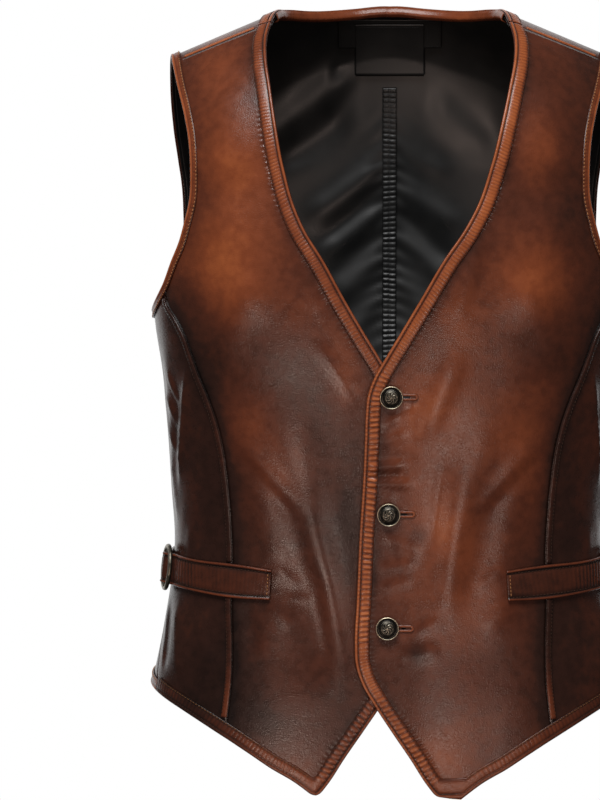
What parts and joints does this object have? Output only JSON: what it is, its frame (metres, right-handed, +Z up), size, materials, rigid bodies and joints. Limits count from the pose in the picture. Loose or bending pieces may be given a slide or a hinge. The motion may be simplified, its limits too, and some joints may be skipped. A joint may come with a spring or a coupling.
{
  "type": "leather vest",
  "caption": "Buttoned leather vest in its worn, hollow form, with side straps, slide buckles, ribbed edge bindings and a satin-lined back.",
  "frame": {"origin": "midway between the two shoulder ridges, where the wearer's shoulders hold the vest up", "axes": "+Z up, the front faces -Y, the wearer's left is at +X"},
  "size_m": [0.4166, 0.2528, 0.6746],
  "materials": {
    "leather_brown": "burnished",
    "leather_tan": "satin",
    "lining_satin": "satin",
    "antique_metal": "antique"
  },
  "bodies": {
    "root": {"front_right": "leather_brown", "front_left": "leather_brown", "side_right": "leather_brown", "side_left": "leather_brown", "back": "leather_brown", "lining_back": "lining_satin", "edge_strip_right": "leather_tan", "edge_strip_left": "leather_tan", "hem_strip_back": "leather_tan", "neck_strip_back": "leather_tan", "armhole_strip_right": "leather_tan", "armhole_strip_left": "leather_tan", "seam_lap_upper_right": "leather_brown", "seam_lap_upper_left": "leather_brown", "seam_lap_lower_right": "leather_brown", "seam_lap_lower_left": "leather_brown", "shoulder_piping_right": "leather_tan", "shoulder_piping_left": "leather_tan", "strap_right": "leather_brown", "strap_left": "leather_brown", "buckle_right": "antique_metal", "buckle_left": "antique_metal", "button_1": "antique_metal", "button_2": "antique_metal", "button_3": "antique_metal", "buttonhole_1": "leather_brown", "buttonhole_2": "leather_brown", "buttonhole_3": "leather_brown", "neck_band": "leather_tan", "locker_patch": "lining_satin", "label": "lining_satin", "ladder_seam": "lining_satin"}
  },
  "joints": []
}
